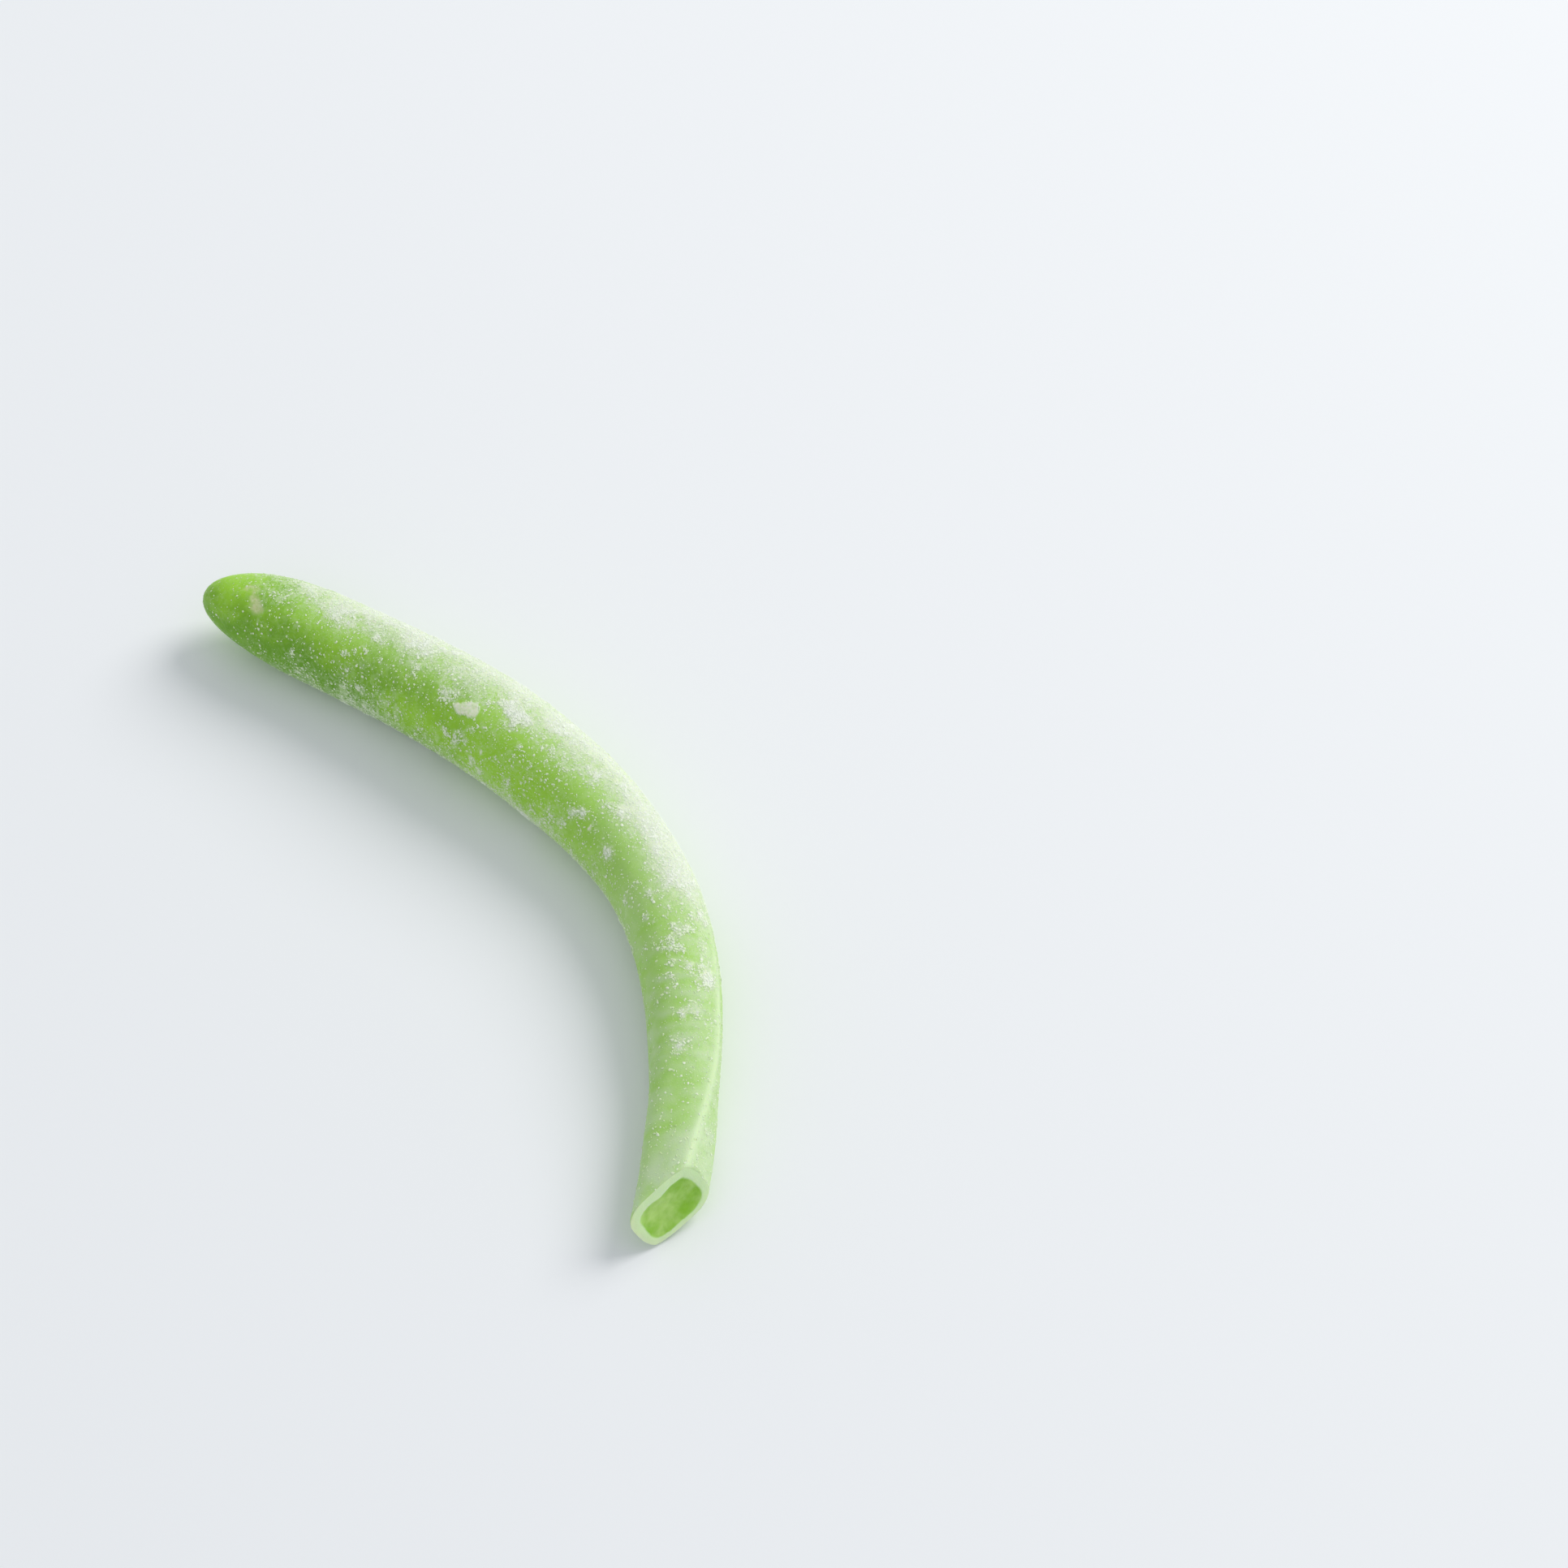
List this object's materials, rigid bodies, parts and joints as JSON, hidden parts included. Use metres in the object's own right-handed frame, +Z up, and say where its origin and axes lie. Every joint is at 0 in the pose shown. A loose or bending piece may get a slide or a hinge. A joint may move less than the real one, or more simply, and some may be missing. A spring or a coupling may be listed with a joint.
{
  "type": "green bean",
  "caption": "Trimmed green bean pod, bowed, with a rounded tip and an oblique cut end, lying on its side under a dusting of frost.",
  "frame": {"origin": "under the middle of the pod's box, on the surface that it lies on", "axes": "+X from the rounded tip towards the cut end, +Y towards the outside of the bow, +Z up"},
  "size_m": [0.073, 0.023, 0.0089],
  "materials": {
    "pod_skin": "taut vegetable skin, yellow-green and slightly see-through, satin where it is bare of frost",
    "cut_flesh": "moist pale wall round brighter, slightly sunken green flesh",
    "frost": "fine white frost crystals, loose and matt"
  },
  "bodies": {
    "root": {"green_bean": "pod_skin"}
  },
  "joints": []
}
